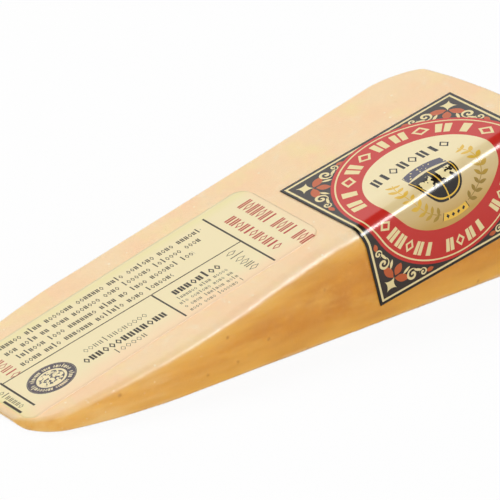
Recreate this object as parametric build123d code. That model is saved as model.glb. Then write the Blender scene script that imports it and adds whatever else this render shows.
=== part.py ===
"""A wedge of hard cheese, sealed in a tight clear film that carries two printed labels.

The wedge is cut from a round wheel. It lies on one of its two cut faces, so that the other slopes up from
the thin tip to the rind. All lengths are in millimetres.

The pieces are made round the wheel's axle, which is the Y axis: X runs from the axle towards the rind, and
Y across the wedge, from its near side to its far side. The finished pieces are then moved, so that the
origin is the middle of the wedge's footprint, on the surface that it lies on.
"""

import os
from math import asin, atan2, cos, exp, radians, sin, sqrt, tan

from build123d import *

# The wheel that the wedge was cut from. Its two flat sides are the wedge's near and far sides.
WHEEL_HEIGHT = 46.6
RIM_RADIUS = 162.6  # from the axle to the rind where it stands out furthest
RIM_BULGE_AT = 10.0  # how far up from the near side that is
RIM_FALL = 3.3  # how much nearer the axle the rind is where the far shoulder starts
FAR_SHOULDER = (22.0, 8.2)  # how far the rounding of an edge reaches along the flat side, and down the rind
NEAR_SHOULDER = (17.0, 6.6)
SHOULDER_RISE = 0.6  # how far above the flat side each rounding would start, so that it crosses that side

# The cut.
WEDGE_ANGLE = 13.8  # degrees between the two cut faces
TIP_DISTANCE = 11.4  # from the axle to the blunt tip
TIP_CORNER = 11.7  # radius of the tip's two corners, seen from above
SIDE_BEND = 137.0  # radius of the long bend that draws the sides in to those corners
BEND_END = 51.0  # where that bend starts, from the axle

# How the edges are rounded off under the film.
FOLD_RADIUS = 4.9  # the near upper edge where the wedge is thick
FOLD_GROWTH = 0.09  # how fast that radius is reached, for each millimetre of thickness
OTHER_SHARE = 0.5  # the other three long edges' radius, as a share of the near upper one's
TIP_ROUNDING = 1.1  # how far in from the tip's end its own rounding reaches
RIM_ROUNDING = 2.2  # radius of the edges between the cut faces and the rind
PRESSED_FLAT = 0.04  # how much of the lower cut face is pressed flat where it rests

# The labels, measured along the sloping face from the axle, and across it from the near side.
LABEL_THICKNESS = 0.2
CREST_START = 103.6  # the upper corner of the square label on the tip's side
CREST_TOP = 29.5
CREST_LENGTH = 50.8
CREST_TOP_TURN = 3.4  # degrees that its upper edge turns down towards the rind
CREST_DEPTH = 21.0  # how far below the sloping face its lower corner on the tip's side hangs
CREST_FOOT_TURN = 4.1  # degrees that its lower edge turns down towards the rind
CREST_LEAN = 1.4  # degrees that its ends lean, where the film shrank
TEXT_START = 13.0  # the end of the long label on the tip's side
TEXT_END = 99.5
TEXT_NEAR = 8.4
TEXT_FAR = 38.2
TEXT_CORNER = 4.0
TEXT_CUT = 1.0  # how far above and below the sloping face its outline reaches

HALF_ANGLE = radians(WEDGE_ANGLE / 2)
SLOPE = Plane(
    origin=(0, 0, 0),
    x_dir=(cos(HALF_ANGLE), 0, sin(HALF_ANGLE)),
    z_dir=(-sin(HALF_ANGLE), 0, cos(HALF_ANGLE)),
)
NEAR_SIDE = Plane(origin=(0, 0, 0), x_dir=SLOPE.x_dir, z_dir=(0, -1, 0))
CLEAR = 5.0  # how far a cutting shape reaches past what it cuts
RIM_EDGE_ABOVE = 10.0  # the edges round the rind lie further than this from the middle plane
CORNER_TURNS = (14, 24, 35, 47, 60)  # degrees round the tip's corner at which a section stands
BEND_STEPS = 5
STRAIGHT_STEPS = 5


def thickness(x):
    """The wedge's thickness at a distance x from the axle."""
    return 2 * x * tan(HALF_ANGLE)


def half_thickness(x):
    """Half that thickness, less the rounding of the tip's end."""
    past_end = min((x - TIP_DISTANCE) / TIP_ROUNDING, 1.0)
    return thickness(x) / 2 * sqrt(1 - (1 - past_end) ** 2)


def fold_radius(x):
    """The radius of the near upper edge, which shrinks towards the thin tip."""
    return FOLD_RADIUS * (1 - exp(-FOLD_GROWTH * thickness(x)))


def tip_corner():
    """The centre of the tip's near corner, and the angle at which it runs into the side's long bend."""
    centre_x = TIP_DISTANCE + TIP_CORNER
    along = BEND_END - centre_x
    centre_y = SIDE_BEND - sqrt((SIDE_BEND - TIP_CORNER) ** 2 - along**2)
    return centre_x, centre_y, atan2(along, SIDE_BEND - centre_y)


def bend_start():
    """Where the tip's corner ends and the long bend of the side starts."""
    centre_x, _, turn = tip_corner()
    return centre_x - TIP_CORNER * sin(turn)


def side_inset(x):
    """How far in a side lies from its straight line."""
    if x >= BEND_END:
        return 0.0
    if x >= bend_start():
        return SIDE_BEND - sqrt(SIDE_BEND**2 - (BEND_END - x) ** 2)
    centre_x, centre_y, _ = tip_corner()
    return centre_y - sqrt(TIP_CORNER**2 - (centre_x - x) ** 2)


def cross_section(x, grown):
    """The wedge cut across at x: a rectangle with rounded corners, grown all round by a label's thickness."""
    near = side_inset(x) - grown
    far = WHEEL_HEIGHT - side_inset(x) + grown
    high = half_thickness(x) + grown
    fold = fold_radius(x) + grown
    other = fold_radius(x) * OTHER_SHARE + grown
    corners = [
        (near, -high, other, 1, 1),
        (far, -high, other, -1, 1),
        (far, high, other, -1, -1),
        (near, high, fold, 1, -1),
    ]
    arcs = []
    for number, (y, z, radius, to_y, to_z) in enumerate(corners):
        ends = [(y, z + to_z * radius), (y + to_y * radius, z)]
        if number % 2:
            ends.reverse()
        cut_in = radius * (1 - sqrt(0.5))
        arcs.append((ends[0], (y + to_y * cut_in, z + to_z * cut_in), ends[1]))
    edges = []
    for number, arc in enumerate(arcs):
        edges.append(ThreePointArc(*arc))
        edges.append(Line(arc[2], arcs[(number + 1) % 4][0]))
    plane = Plane(origin=(x, 0, 0), x_dir=(0, 1, 0), z_dir=(1, 0, 0))
    return plane * make_face(Wire(edges))


def even_steps(first, last, count):
    """Evenly spaced places from first to last, both ends included."""
    return [first + (last - first) * step / count for step in range(count + 1)]


def long_body(grown):
    """The wedge from its tip to past the rind: the tip's corner, the sides' bend, and the straight rest."""
    centre_x, _, _ = tip_corner()
    corner = [centre_x - TIP_CORNER * cos(radians(degree)) for degree in CORNER_TURNS]
    stretches = [
        corner + [bend_start()],
        even_steps(bend_start(), BEND_END, BEND_STEPS),
        even_steps(BEND_END, RIM_RADIUS + CLEAR, STRAIGHT_STEPS),
    ]
    parts = [loft([cross_section(x, grown) for x in places]) for places in stretches]
    return parts[0] + parts[1] + parts[2]


def wheel(grown):
    """A sector of the wheel, wider than the wedge: its bulging rind, its two shoulders and its flat sides."""
    rise = WHEEL_HEIGHT - FAR_SHOULDER[1] - RIM_BULGE_AT
    arc_radius = (rise**2 + RIM_FALL**2) / (2 * RIM_FALL)
    centre_x = RIM_RADIUS - arc_radius

    def rind(y):
        """A point of the rind's arc at height y, and the arc's direction there."""
        angle = asin((y - RIM_BULGE_AT) / arc_radius)
        reach = arc_radius + grown
        return (centre_x + reach * cos(angle), y + grown * sin(angle)), (-sin(angle), cos(angle))

    near_edge, near_way = rind(NEAR_SHOULDER[1])
    far_edge, far_way = rind(WHEEL_HEIGHT - FAR_SHOULDER[1])
    crown, _ = rind((NEAR_SHOULDER[1] + WHEEL_HEIGHT - FAR_SHOULDER[1]) / 2)
    near_flat = (near_edge[0] - NEAR_SHOULDER[0], -SHOULDER_RISE - grown)
    far_flat = (far_edge[0] - FAR_SHOULDER[0], WHEEL_HEIGHT + SHOULDER_RISE + grown)
    inner_x = TIP_DISTANCE / 2
    profile = Wire([
        Line((inner_x, near_flat[1]), near_flat),
        Spline(near_flat, near_edge, tangents=[(1, 0), near_way]),
        ThreePointArc(near_edge, crown, far_edge),
        Spline(far_edge, far_flat, tangents=[far_way, (-1, 0)]),
        Line(far_flat, (inner_x, far_flat[1])),
        Line((inner_x, far_flat[1]), (inner_x, near_flat[1])),
    ])
    arc = WEDGE_ANGLE + 2 * CLEAR
    return revolve(make_face(profile), axis=Axis.Y, revolution_arc=arc).rotate(Axis.Y, -arc / 2)


def wedge_body():
    """The sealed wedge, with its middle plane level."""
    body = long_body(0.0) & wheel(0.0)
    rim_edges = []
    for face in body.faces().filter_by(GeomType.REVOLUTION):
        rim_edges += [edge for edge in face.edges() if abs(edge.center().Z) > RIM_EDGE_ABOVE]
    return body.fillet(RIM_ROUNDING, rim_edges).solid()


def label_layer(body):
    """A layer as thick as a label that lies on the wedge all over."""
    return (long_body(LABEL_THICKNESS) & wheel(LABEL_THICKNESS)) - body


def crest_label(layer):
    """The square label: on the sloping face, over the near edge and down the near side."""
    lean = tan(radians(CREST_LEAN))
    top_drop = CREST_LENGTH * sin(radians(CREST_TOP_TURN))
    foot_drop = CREST_LENGTH * sin(radians(CREST_FOOT_TURN))

    def end_at(down):
        """How far along the slope the label's end on the tip's side lies, at a distance down from its top."""
        return CREST_START + lean * down

    above = Polyline(
        (end_at(0), CREST_TOP),
        (end_at(top_drop) + CREST_LENGTH, CREST_TOP - top_drop),
        (end_at(CREST_TOP + CLEAR) + CREST_LENGTH, -CLEAR),
        (end_at(CREST_TOP + CLEAR), -CLEAR),
        close=True,
    )
    foot = CREST_TOP + CREST_DEPTH
    beside = Polyline(
        (end_at(CREST_TOP - CLEAR), CLEAR),
        (end_at(CREST_TOP - CLEAR) + CREST_LENGTH, CLEAR),
        (end_at(foot + foot_drop) + CREST_LENGTH, -CREST_DEPTH - foot_drop),
        (end_at(foot), -CREST_DEPTH),
        close=True,
    )
    from_above = extrude(SLOPE * make_face(above), amount=WHEEL_HEIGHT, both=True)
    from_near = extrude(NEAR_SIDE * make_face(beside), amount=WHEEL_HEIGHT, both=True)
    return (layer & from_above & from_near).solid()


def text_label(layer):
    """The long label on the sloping face, from the tip to the square one."""
    outline = Rectangle(TEXT_END - TEXT_START, TEXT_FAR - TEXT_NEAR)
    outline = fillet(outline.vertices(), TEXT_CORNER)
    outline = Pos((TEXT_START + TEXT_END) / 2, (TEXT_NEAR + TEXT_FAR) / 2) * outline
    return (layer & extrude(SLOPE * outline, amount=TEXT_CUT, both=True)).solid()


wedge = wedge_body()
layer = label_layer(wedge)
pieces = {"wrapped_wedge": wedge, "crest_label": crest_label(layer), "text_label": text_label(layer)}

# Lay the wedge on its lower cut face, press that flat, and bring the origin to its footprint's middle.
laid = {name: piece.rotate(Axis.Y, -WEDGE_ANGLE / 2) for name, piece in pieces.items()}
room = (3 * RIM_RADIUS, 2 * WHEEL_HEIGHT, RIM_RADIUS)  # larger than the wedge on every side
above = Box(*room, align=(Align.CENTER, Align.CENTER, Align.MIN))
flat_at = laid["wrapped_wedge"].bounding_box().min.Z + PRESSED_FLAT
laid["wrapped_wedge"] = (laid["wrapped_wedge"] & Pos(0, WHEEL_HEIGHT / 2, flat_at) * above).solid()
box = Compound(list(laid.values())).bounding_box()
to_origin = Vector(-box.center().X, -box.center().Y, -flat_at)
os.makedirs("parts", exist_ok=True)
for name, piece in laid.items():
    placed = piece.translate(to_origin)
    size = placed.bounding_box().size
    print(f"{name}: {placed.volume / 1000:.2f} ml, {size.X:.1f} x {size.Y:.1f} x {size.Z:.1f} mm")
    export_step(placed, f"parts/{name}.step")
print(f"The axle is at x = {to_origin.X:.3f}, z = {to_origin.Z:.3f}, the near side at y = {to_origin.Y:.3f}")
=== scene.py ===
# %% [markdown]
# # A wedge of hard cheese in tight clear film
#
# The real thing is a long thin wedge, cut from a round wheel of hard cheese and sealed in film that is
# shrunk onto it. It lies on one cut face. A square printed label bends over its near upper edge at the
# thick end, and a long pale panel of print covers most of the sloping face towards the tip. The sizes
# were settled in the CAD model, so this script starts by loading that model as a fixed frame, and
# everything below is placed from it.

# %% Load the packed frame
import math

import bmesh
import bpy
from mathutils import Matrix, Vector, noise


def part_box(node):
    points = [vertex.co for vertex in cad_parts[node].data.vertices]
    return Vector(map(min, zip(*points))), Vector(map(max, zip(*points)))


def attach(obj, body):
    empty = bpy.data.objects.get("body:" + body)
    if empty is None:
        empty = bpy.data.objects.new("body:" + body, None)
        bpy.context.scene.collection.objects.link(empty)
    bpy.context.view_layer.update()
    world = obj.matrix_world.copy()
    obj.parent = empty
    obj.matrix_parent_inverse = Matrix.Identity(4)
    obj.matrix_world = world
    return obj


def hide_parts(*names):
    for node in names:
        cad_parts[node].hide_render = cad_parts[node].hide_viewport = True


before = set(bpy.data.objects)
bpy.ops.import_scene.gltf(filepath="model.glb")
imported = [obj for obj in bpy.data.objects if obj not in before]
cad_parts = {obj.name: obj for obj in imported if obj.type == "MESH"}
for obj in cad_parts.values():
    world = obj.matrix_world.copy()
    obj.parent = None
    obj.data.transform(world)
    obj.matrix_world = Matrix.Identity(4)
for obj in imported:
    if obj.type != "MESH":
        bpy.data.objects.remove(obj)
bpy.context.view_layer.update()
low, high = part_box("wrapped_wedge")
print("The wrapped wedge measures", [round(1000 * side, 1) for side in high - low], "mm")

# %% [markdown]
# ## The sizes that the shapes follow
#
# The wheel's axle is the natural centre of a wedge: both cut faces pass through it, and the rind is a
# part of a circle round it. So the shapes are worked out from the axle, with X towards the rind, Y across
# from the near side and Z up from the plane midway between the cut faces. One small function then lays a
# point into the frame's place. A shoulder is given by two sizes: how far before the rind it begins, and
# how far the side has drawn in at its end.

# %% Driving sizes, in metres
MM = 0.001
WHEEL_HEIGHT = 46.6 * MM
RIM_RADIUS = 162.6 * MM
RIM_BULGE_AT = 10.0 * MM
RIM_FALL = 3.3 * MM
FAR_SHOULDER = (22.0 * MM, 8.2 * MM)
NEAR_SHOULDER = (17.0 * MM, 6.6 * MM)
SHOULDER_RISE = 0.6 * MM
SHOULDER_EASE, SHOULDER_TURN = 2.1, 1.75
HALF_ANGLE = math.radians(13.8 / 2)
TIP_DISTANCE = 11.4 * MM
TIP_CORNER = 11.7 * MM
SIDE_BEND = 137.0 * MM
BEND_END = 51.0 * MM
FOLD_RADIUS = 4.9 * MM
FOLD_GROWTH = 0.09 / MM
FAR_SHARE = 0.5
LOWER_SHARE = 0.12
TIP_ROUNDING = 1.3 * MM
RIM_ROUNDING = 2.2 * MM

AXLE = Vector((high.x - RIM_RADIUS, low.y, low.z))
print("The axle lies at", [round(1000 * part, 2) for part in AXLE], "mm")


def lay(x, y, z):
    """A point given from the axle and the middle plane, as it lies in the frame."""
    return AXLE + Vector((
        x * math.cos(HALF_ANGLE) - z * math.sin(HALF_ANGLE),
        y,
        x * math.sin(HALF_ANGLE) + z * math.cos(HALF_ANGLE),
    ))


# %% [markdown]
# ## How the wedge's section changes from tip to rind
#
# Cut across, the wedge is a rectangle with rounded corners. Its thickness grows with the distance from
# the axle, its near and far sides draw in towards the blunt tip and at the two shoulders of the rind, and
# its corners are sharper where it is thin. Each of these is a short formula, so that the cheese, its film
# and its labels all follow the same surface and never cut through each other.

# %% Thickness and rounding
def clamp(value, lowest, highest):
    """The value, kept between two others."""
    return min(max(value, lowest), highest)


def thickness(x):
    """The wedge's thickness at a distance x from the axle."""
    return 2 * x * math.tan(HALF_ANGLE)


def fold_radius(x):
    """The near upper edge's radius, smaller where the wedge is thin. Other edges take a share of it."""
    return FOLD_RADIUS * (1 - math.exp(-FOLD_GROWTH * thickness(x)))


def rounded_end(distance, radius):
    """How far a surface draws in at a distance from an end that is rounded off with a radius."""
    short = max(0.0, 1 - distance / radius)
    return radius * (1 - math.sqrt(max(0.0, 1 - short * short)))


for place in (20, 80, 140):
    print(f"at {place} mm the near upper edge has a radius of {fold_radius(place * MM) / MM:.1f} mm")

# %% [markdown]
# The tip is blunt: a long bend on each side leads into a rounder corner, and both are parts of circles.
# The rind bulges a little, and the film has pulled its two shoulders round. The near upper edge also
# strays from its straight line by less than a millimetre, because the film pulled it in and out.

# %% How the two sides draw in
WANDER = 0.85 * MM
WANDER_FROM = 41 * MM
WANDER_TO = 106 * MM
WANDER_EASE = 10 * MM
WANDER_LONG = 72 * MM


def tip_inset(x):
    """How far in a side lies near the tip: first a long bend, then the tip's corner."""
    if x >= BEND_END:
        return 0.0
    corner_x = TIP_DISTANCE + TIP_CORNER
    along = BEND_END - corner_x
    corner_y = SIDE_BEND - math.sqrt((SIDE_BEND - TIP_CORNER) ** 2 - along**2)
    turn = math.atan2(along, SIDE_BEND - corner_y)
    if x >= corner_x - TIP_CORNER * math.sin(turn):
        return SIDE_BEND - math.sqrt(SIDE_BEND**2 - (BEND_END - x) ** 2)
    return corner_y - math.sqrt(max(0.0, TIP_CORNER**2 - (corner_x - x) ** 2))


def rind_at(y):
    """How far from the axle the rind is, at a height y up the wheel."""
    rise = WHEEL_HEIGHT - FAR_SHOULDER[1] - RIM_BULGE_AT
    arc = (rise**2 + RIM_FALL**2) / (2 * RIM_FALL)
    return RIM_RADIUS - arc + math.sqrt(arc**2 - (y - RIM_BULGE_AT) ** 2)


def shoulder_inset(x, shoulder, edge_y):
    """How far in a side lies near the rind, where a shoulder rounds it off."""
    reach, depth = shoulder
    start = rind_at(edge_y) - reach
    if x <= start:
        return 0.0
    share = min(1.0, (x - start) / reach)
    fall = 1 - (1 - share**SHOULDER_EASE) ** (1 / SHOULDER_TURN)
    return max(0.0, fall * (depth + SHOULDER_RISE) - SHOULDER_RISE)


def fold_wander(x):
    """How far the near fold strays from its straight line, where the film pulled it in and out."""
    stretch = clamp((WANDER_TO - x) / WANDER_EASE, 0.0, 1.0) if x > WANDER_FROM else 0.0
    return -WANDER * stretch * math.sin(2 * math.pi * (x - WANDER_FROM) / WANDER_LONG)


def sides_at(x):
    """Where the near and the far side lie at a distance x from the axle."""
    near = tip_inset(x) + shoulder_inset(x, NEAR_SHOULDER, NEAR_SHOULDER[1])
    far_inset = tip_inset(x) + shoulder_inset(x, FAR_SHOULDER, WHEEL_HEIGHT - FAR_SHOULDER[1])
    return near, WHEEL_HEIGHT - far_inset


for place in (12, 20, 50, 100, 150):
    near, far = sides_at(place * MM)
    print(f"at {place} mm: {thickness(place * MM) / MM:.1f} mm thick, {(far - near) / MM:.1f} mm wide")

# %% [markdown]
# ## One gridded block for cheese and film
#
# A cube with its sides cut into an even grid is a good start for a rounded shape: it has no poles, its
# faces are nearly square, and every vertex knows its own place in the block. Each vertex is then seated
# on the wedge's rounded surface. The block is cut more finely along its length than across, and its
# stations crowd together at both ends, where the surface turns quickly.

# %% Cut the block
LENGTH_CUTS = 239
WIDTH_CUTS = 59
DEPTH_CUTS = 31
LEAST_STEP = 1e-6


def gridded_block():
    """A cube from 0 to 1 along X and from -1 to 1 across, cut into a grid on every side."""
    block = bmesh.new()
    bmesh.ops.create_cube(block, size=2)
    for axis, cuts in enumerate((LENGTH_CUTS, WIDTH_CUTS, DEPTH_CUTS)):
        along = [
            edge for edge in block.edges
            if abs((edge.verts[0].co - edge.verts[1].co)[axis]) > LEAST_STEP
        ]
        bmesh.ops.subdivide_edges(block, edges=along, cuts=cuts, use_grid_fill=True)
    bmesh.ops.translate(block, verts=block.verts, vec=(1, 0, 0))
    bmesh.ops.scale(block, verts=block.verts, vec=(0.5, 1, 1))
    return block


trial = gridded_block()
print("The block has", len(trial.verts), "vertices and", len(trial.faces), "faces")
trial.free()

# %% [markdown]
# Seating a vertex takes three steps. The first finds its distance from the axle: the grid's even steps
# are squeezed towards both ends. The second walks out from the section's middle to the rounded rectangle
# there. The third turns the section's height into an angle round the axle, which makes both cut faces
# flat and the rind round. At the very ends the section gets lower, so that the tip and the rind's edges
# are rounded too. The rind's distance depends on how far across the vertex comes to lie, so the steps are
# gone through three times.

# %% Seat a vertex on the wedge
END_SQUEEZE = 0.05
SHOULDER_BLEND = 3.0 * MM
LEAST_HALF_HEIGHT = 0.15 * MM
FULLEST_ROUNDING = 0.98
ROUNDS = 3
TINY = 1e-9


def crowded(share):
    """Even steps from 0 to 1, squeezed towards both ends."""
    return share - END_SQUEEZE * (math.sin(4 * math.pi * share) + math.sin(2 * math.pi * share))


def from_axle(reach, y, height):
    """A point at a reach from the axle, and a height round it from the middle plane."""
    return Vector((reach * math.cos(height / reach), y, reach * math.sin(height / reach)))


def seat(co, inset=0.0):
    """Where a vertex of the block lies on the wedge's surface, or an inset inside it."""
    share, across, up = co
    ring = max(abs(across), abs(up), TINY)
    y = WHEEL_HEIGHT * (1 + across) / 2
    for _ in range(ROUNDS):
        edge_y = clamp(y, NEAR_SHOULDER[1], WHEEL_HEIGHT - FAR_SHOULDER[1])
        start, end = TIP_DISTANCE + inset, rind_at(edge_y) - inset
        reach = start + (end - start) * crowded(share)
        near, far = sides_at(reach)
        side = near - tip_inset(reach) if across < 0 else WHEEL_HEIGHT - tip_inset(reach) - far
        near += fold_wander(reach) * (1 + up) / 2
        middle, half_width = (near + far) / 2, (far - near) / 2 - inset
        ends = rounded_end(reach - start, TIP_ROUNDING) + rounded_end(end - reach, RIM_ROUNDING)
        half_height = max(reach * HALF_ANGLE - (inset + ends), LEAST_HALF_HEIGHT)
        blend = clamp(side / SHOULDER_BLEND, 0.0, 1.0)
        radius = fold_radius(reach) * (LOWER_SHARE if up < 0 else 1.0 if across < 0 else FAR_SHARE)
        radius = min(radius + (RIM_ROUNDING - radius) * blend, half_height * FULLEST_ROUNDING)
        inner = Vector((
            clamp(across / ring * half_width, radius - half_width, half_width - radius),
            clamp(up / ring * half_height, radius - half_height, half_height - radius),
        ))
        out = Vector((across / ring * half_width, up / ring * half_height)) - inner
        edge = inner + out.normalized() * radius if out.length > radius else inner + out
        y = middle + ring * edge.x
    return from_axle(reach, y, ring * edge.y)


print("The middle of the rind is seated at", [round(part / MM, 1) for part in seat((1, 0, 0))], "mm")

# %% [markdown]
# Cheese and film both start from this block, so the moves that turn it into one of them are a function
# too. It seats every vertex, then moves each along the surface's own direction by a formula, and lays it
# in the frame. All the moves are worked out before the first is made, so that none of them changes the
# next.

# %% Shape a block and finish a piece
def shaped(block, inset, rise):
    """Seat a block at an inset, and raise its surface by a formula of the place."""
    for vert in block.verts:
        vert.co = seat(vert.co, inset)
    block.normal_update()
    moves = [(vert, vert.normal * rise(vert.co)) for vert in block.verts]
    for vert, move in moves:
        vert.co += move
    for vert in block.verts:
        vert.co = lay(*vert.co)
    return block


def finished(mesh, name, material, smooth=True):
    """A mesh object made from a bmesh, with smooth faces and one material."""
    bmesh.ops.recalc_face_normals(mesh, faces=mesh.faces)
    data = bpy.data.meshes.new(name)
    mesh.to_mesh(data)
    mesh.free()
    data.materials.append(material)
    for face in data.polygons:
        face.use_smooth = smooth
    piece = bpy.data.objects.new(name, data)
    bpy.context.scene.collection.objects.link(piece)
    return piece


print("A block is seated in", ROUNDS, "rounds")

# %% [markdown]
# ## The cheese
#
# A hard cheese that has been pressed and aged has flat, slightly uneven cut faces and a firm amber rind.
# It sits a fraction of a millimetre inside the film. The unevenness is low and soft, a tenth of a
# millimetre at most. Each vertex also remembers how much of the rind it belongs to, because the rind
# covers the wheel's flat sides and its rim, while the two cut faces are bare paste. That number is
# roughly the distance in millimetres from the edge where the two meet, above 0 on the rind and below 0 on
# a cut face.

# %% Make the cheese
CHEESE_INSET = 0.12 * MM
SWELL = 0.07 * MM
SWELL_SIZE = 14 * MM
SAG = 0.03 * MM
SAG_SIZE = 3.5 * MM


def unevenness(place):
    """A soft rise and fall of the surface, broad swells and smaller ones."""
    return SWELL * noise.noise(place / SWELL_SIZE) + SAG * noise.noise(place / SAG_SIZE)


cheese_material = bpy.data.materials.new("cheese")
block = gridded_block()
rind_layer = block.verts.layers.float.new("rind")
for vert in block.verts:
    share, across, up = vert.co
    on_cut = min((1 - abs(across)) * WHEEL_HEIGHT / 2, (1 - share) * RIM_RADIUS)
    on_rind = (1 - abs(up)) * (TIP_DISTANCE + share * (RIM_RADIUS - TIP_DISTANCE)) * HALF_ANGLE
    vert[rind_layer] = (on_rind if abs(up) < 1 else -on_cut) / MM
cheese = finished(shaped(block, CHEESE_INSET, unevenness), "cheese", cheese_material)
print("The cheese has", len(cheese.data.polygons), "faces")

# %% [markdown]
# ## The film
#
# The cheese is sealed in clear film that was shrunk onto it with heat. Film this thin is a closed skin,
# so it is made from the same block as the cheese, without any inset, and lies just outside it. Where the
# film has to draw in round the tip and the corners of the rind it cannot shrink evenly, and small creases
# stay. They are cut inwards only, so that the film keeps inside the wedge's outline.

# %% Make the film
CREASE_DEPTH = 0.1 * MM
CREASE_SIZE = 1.6 * MM
CREASE_STRETCH = 2.2
CREASE_REACH = 16 * MM
CREASE_FLOOR = 0.12
CREASE_SHARE = 0.5


def creases(place):
    """How far the film rises at a place given from the axle. It is below 0, as creases are cut inwards."""
    from_tip = math.hypot(place.x, place.y - WHEEL_HEIGHT / 2) - TIP_DISTANCE
    from_rim = RIM_RADIUS - place.x
    near_end = max(0.0, 1 - min(from_tip, from_rim) / CREASE_REACH)
    drawn_out = Vector((place.x, place.y / CREASE_STRETCH, place.z)) / CREASE_SIZE
    return -CREASE_DEPTH * (CREASE_FLOOR + near_end) * max(0.0, CREASE_SHARE + noise.noise(drawn_out))


film_material = bpy.data.materials.new("film")
film = finished(shaped(gridded_block(), 0.0, creases), "film", film_material)
print("The film has", len(film.data.polygons), "faces")

# %% [markdown]
# ## A place on the wrapped surface
#
# Both labels are flat prints that follow the surface under them. A point of a label is given by how far
# it lies along the slope from the axle, and by how far it has travelled across: first level over the
# sloping face, then round the fold, then down the near side. These functions turn those two numbers, and
# a height above the film, into a place in the frame. Because they walk along the surface, the print is
# neither stretched nor squeezed over the fold. Near the rind the side draws in and the fold gets tighter,
# and the walk allows for both.

# %% Walk over the fold
WEDGE_ANGLE = 2 * HALF_ANGLE
TRIAL_REACH, TRIAL_START, TRIAL_WALK = 120 * MM, 29.5 * MM, 30 * MM


def on_slope(along, y, depth):
    """A point given along the slope, across from the near side, and down into the wedge."""
    return AXLE + Vector((
        along * math.cos(WEDGE_ANGLE) + depth * math.sin(WEDGE_ANGLE),
        y,
        along * math.sin(WEDGE_ANGLE) - depth * math.cos(WEDGE_ANGLE),
    ))


def near_shoulder(reach):
    """How far the near side is drawn in at a distance from the axle."""
    return shoulder_inset(reach, NEAR_SHOULDER, NEAR_SHOULDER[1])


def near_radius(reach):
    """The near fold's radius, which gets smaller where the shoulder of the rind draws the side in."""
    blend = clamp(near_shoulder(reach) / SHOULDER_BLEND, 0.0, 1.0)
    return fold_radius(reach) + (RIM_ROUNDING - fold_radius(reach)) * blend


def over_fold(radius, start_y, walked, lift):
    """How far across a walk from start_y to the near side has got, and how far below the slope that is."""
    level = start_y - radius
    quarter = radius * math.pi / 2
    if walked <= level:
        return start_y - walked, -lift
    if walked <= level + quarter:
        turn = (walked - level) / radius
        return radius - (radius + lift) * math.sin(turn), radius - (radius + lift) * math.cos(turn)
    return -lift, radius + walked - level - quarter


reached = over_fold(near_radius(TRIAL_REACH), TRIAL_START, TRIAL_WALK, lift=0.0)
print(f"A walk of {TRIAL_WALK / MM:.0f} mm ends at", [round(part / MM, 2) for part in reached], "mm")

# %% [markdown]
# ## The square label
#
# It is a thin sheet with a nearly square outline, stuck over the near fold. A grid is laid out first,
# whose vertices know their share of the way along and down. Each is then walked over the fold. The film
# shrank after the label was stuck on, so its upper and lower edges turn down a little towards the rind
# and its ends lean. A point's distance from the axle depends on how far down the side it lies, so it is
# found in a few rounds. The grid's own UV map holds millimetres of the flat print, which lets the printed
# pattern be drawn at true size.

# %% A helper for both labels
LABEL_THICKNESS = 0.04 * MM


def label_sheet(columns, rows, name, material, place, print_at):
    """A thin sheet: a grid sent to its places by its shares of the way along and across, with a UV map."""
    sheet = bmesh.new()
    bmesh.ops.create_grid(sheet, x_segments=columns, y_segments=rows, size=0.5)
    shares = {vert: (vert.co.x + 0.5, 0.5 - vert.co.y) for vert in sheet.verts}
    layer = sheet.loops.layers.uv.new("print")
    for face in sheet.faces:
        for loop in face.loops:
            loop[layer].uv = print_at(*shares[loop.vert])
    for vert, share in shares.items():
        vert.co = place(*share)
    sheet.normal_update()
    bmesh.ops.solidify(sheet, geom=sheet.faces[:], thickness=-LABEL_THICKNESS)
    return finished(sheet, name, material)


print("The labels are", LABEL_THICKNESS / MM, "mm thick")

# %% Make the square label
CREST_START = 103.6 * MM
CREST_TOP = 29.5 * MM
CREST_LENGTH = 50.8 * MM
CREST_TOP_FALL = CREST_LENGTH * math.sin(math.radians(3.4))
CREST_DEPTH = 21.0 * MM
CREST_FOOT_FALL = CREST_LENGTH * math.sin(math.radians(4.1))
CREST_LEAN = math.tan(math.radians(1.4))
CREST_TALL = 48.7 * MM
CREST_LIFT = 0.1 * MM
CREST_COLUMNS = 130
CREST_ROWS = 126


def crest_place(along, down):
    """Where a vertex of the square label lies."""
    start_y = CREST_TOP - along * CREST_TOP_FALL
    depth = CREST_DEPTH + along * CREST_FOOT_FALL
    s, below = CREST_START + along * CREST_LENGTH, 0.0
    for _ in range(ROUNDS):
        reach = math.hypot(s, max(below, 0.0))
        drawn_in, radius = near_shoulder(reach), near_radius(reach)
        walk = start_y - drawn_in + depth - radius * (2 - math.pi / 2)
        y, below = over_fold(radius, start_y - drawn_in, down * walk, CREST_LIFT)
        y += drawn_in
        s = CREST_START + along * CREST_LENGTH + CREST_LEAN * (CREST_TOP - y + max(below, 0.0))
    return on_slope(s, y, below)


crest_material = bpy.data.materials.new("crest print")
crest = label_sheet(
    CREST_COLUMNS, CREST_ROWS, "crest", crest_material, crest_place,
    lambda along, down: (along * CREST_LENGTH / MM, down * CREST_TALL / MM),
)
print("The square label has", len(crest.data.polygons), "faces")

# %% [markdown]
# ## The long label
#
# The second label is a long pale panel on the sloping face. It is cut to the wedge's own outline near the
# tip, with round corners at its other end, so each column of its grid finds its own near and far edge. On
# the real wedge the cheese's colour comes through the panel. Here the panel is opaque, in the colours
# that this gives, which is simpler to bake. Its near edge and the one towards the rind have no outline of
# their own: they dip just under the film's surface, and the print fades there into the colour of the
# cheese. The panel casts no shadow, because a sheet so close over the cheese would draw a dark line along
# those edges.

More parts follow.
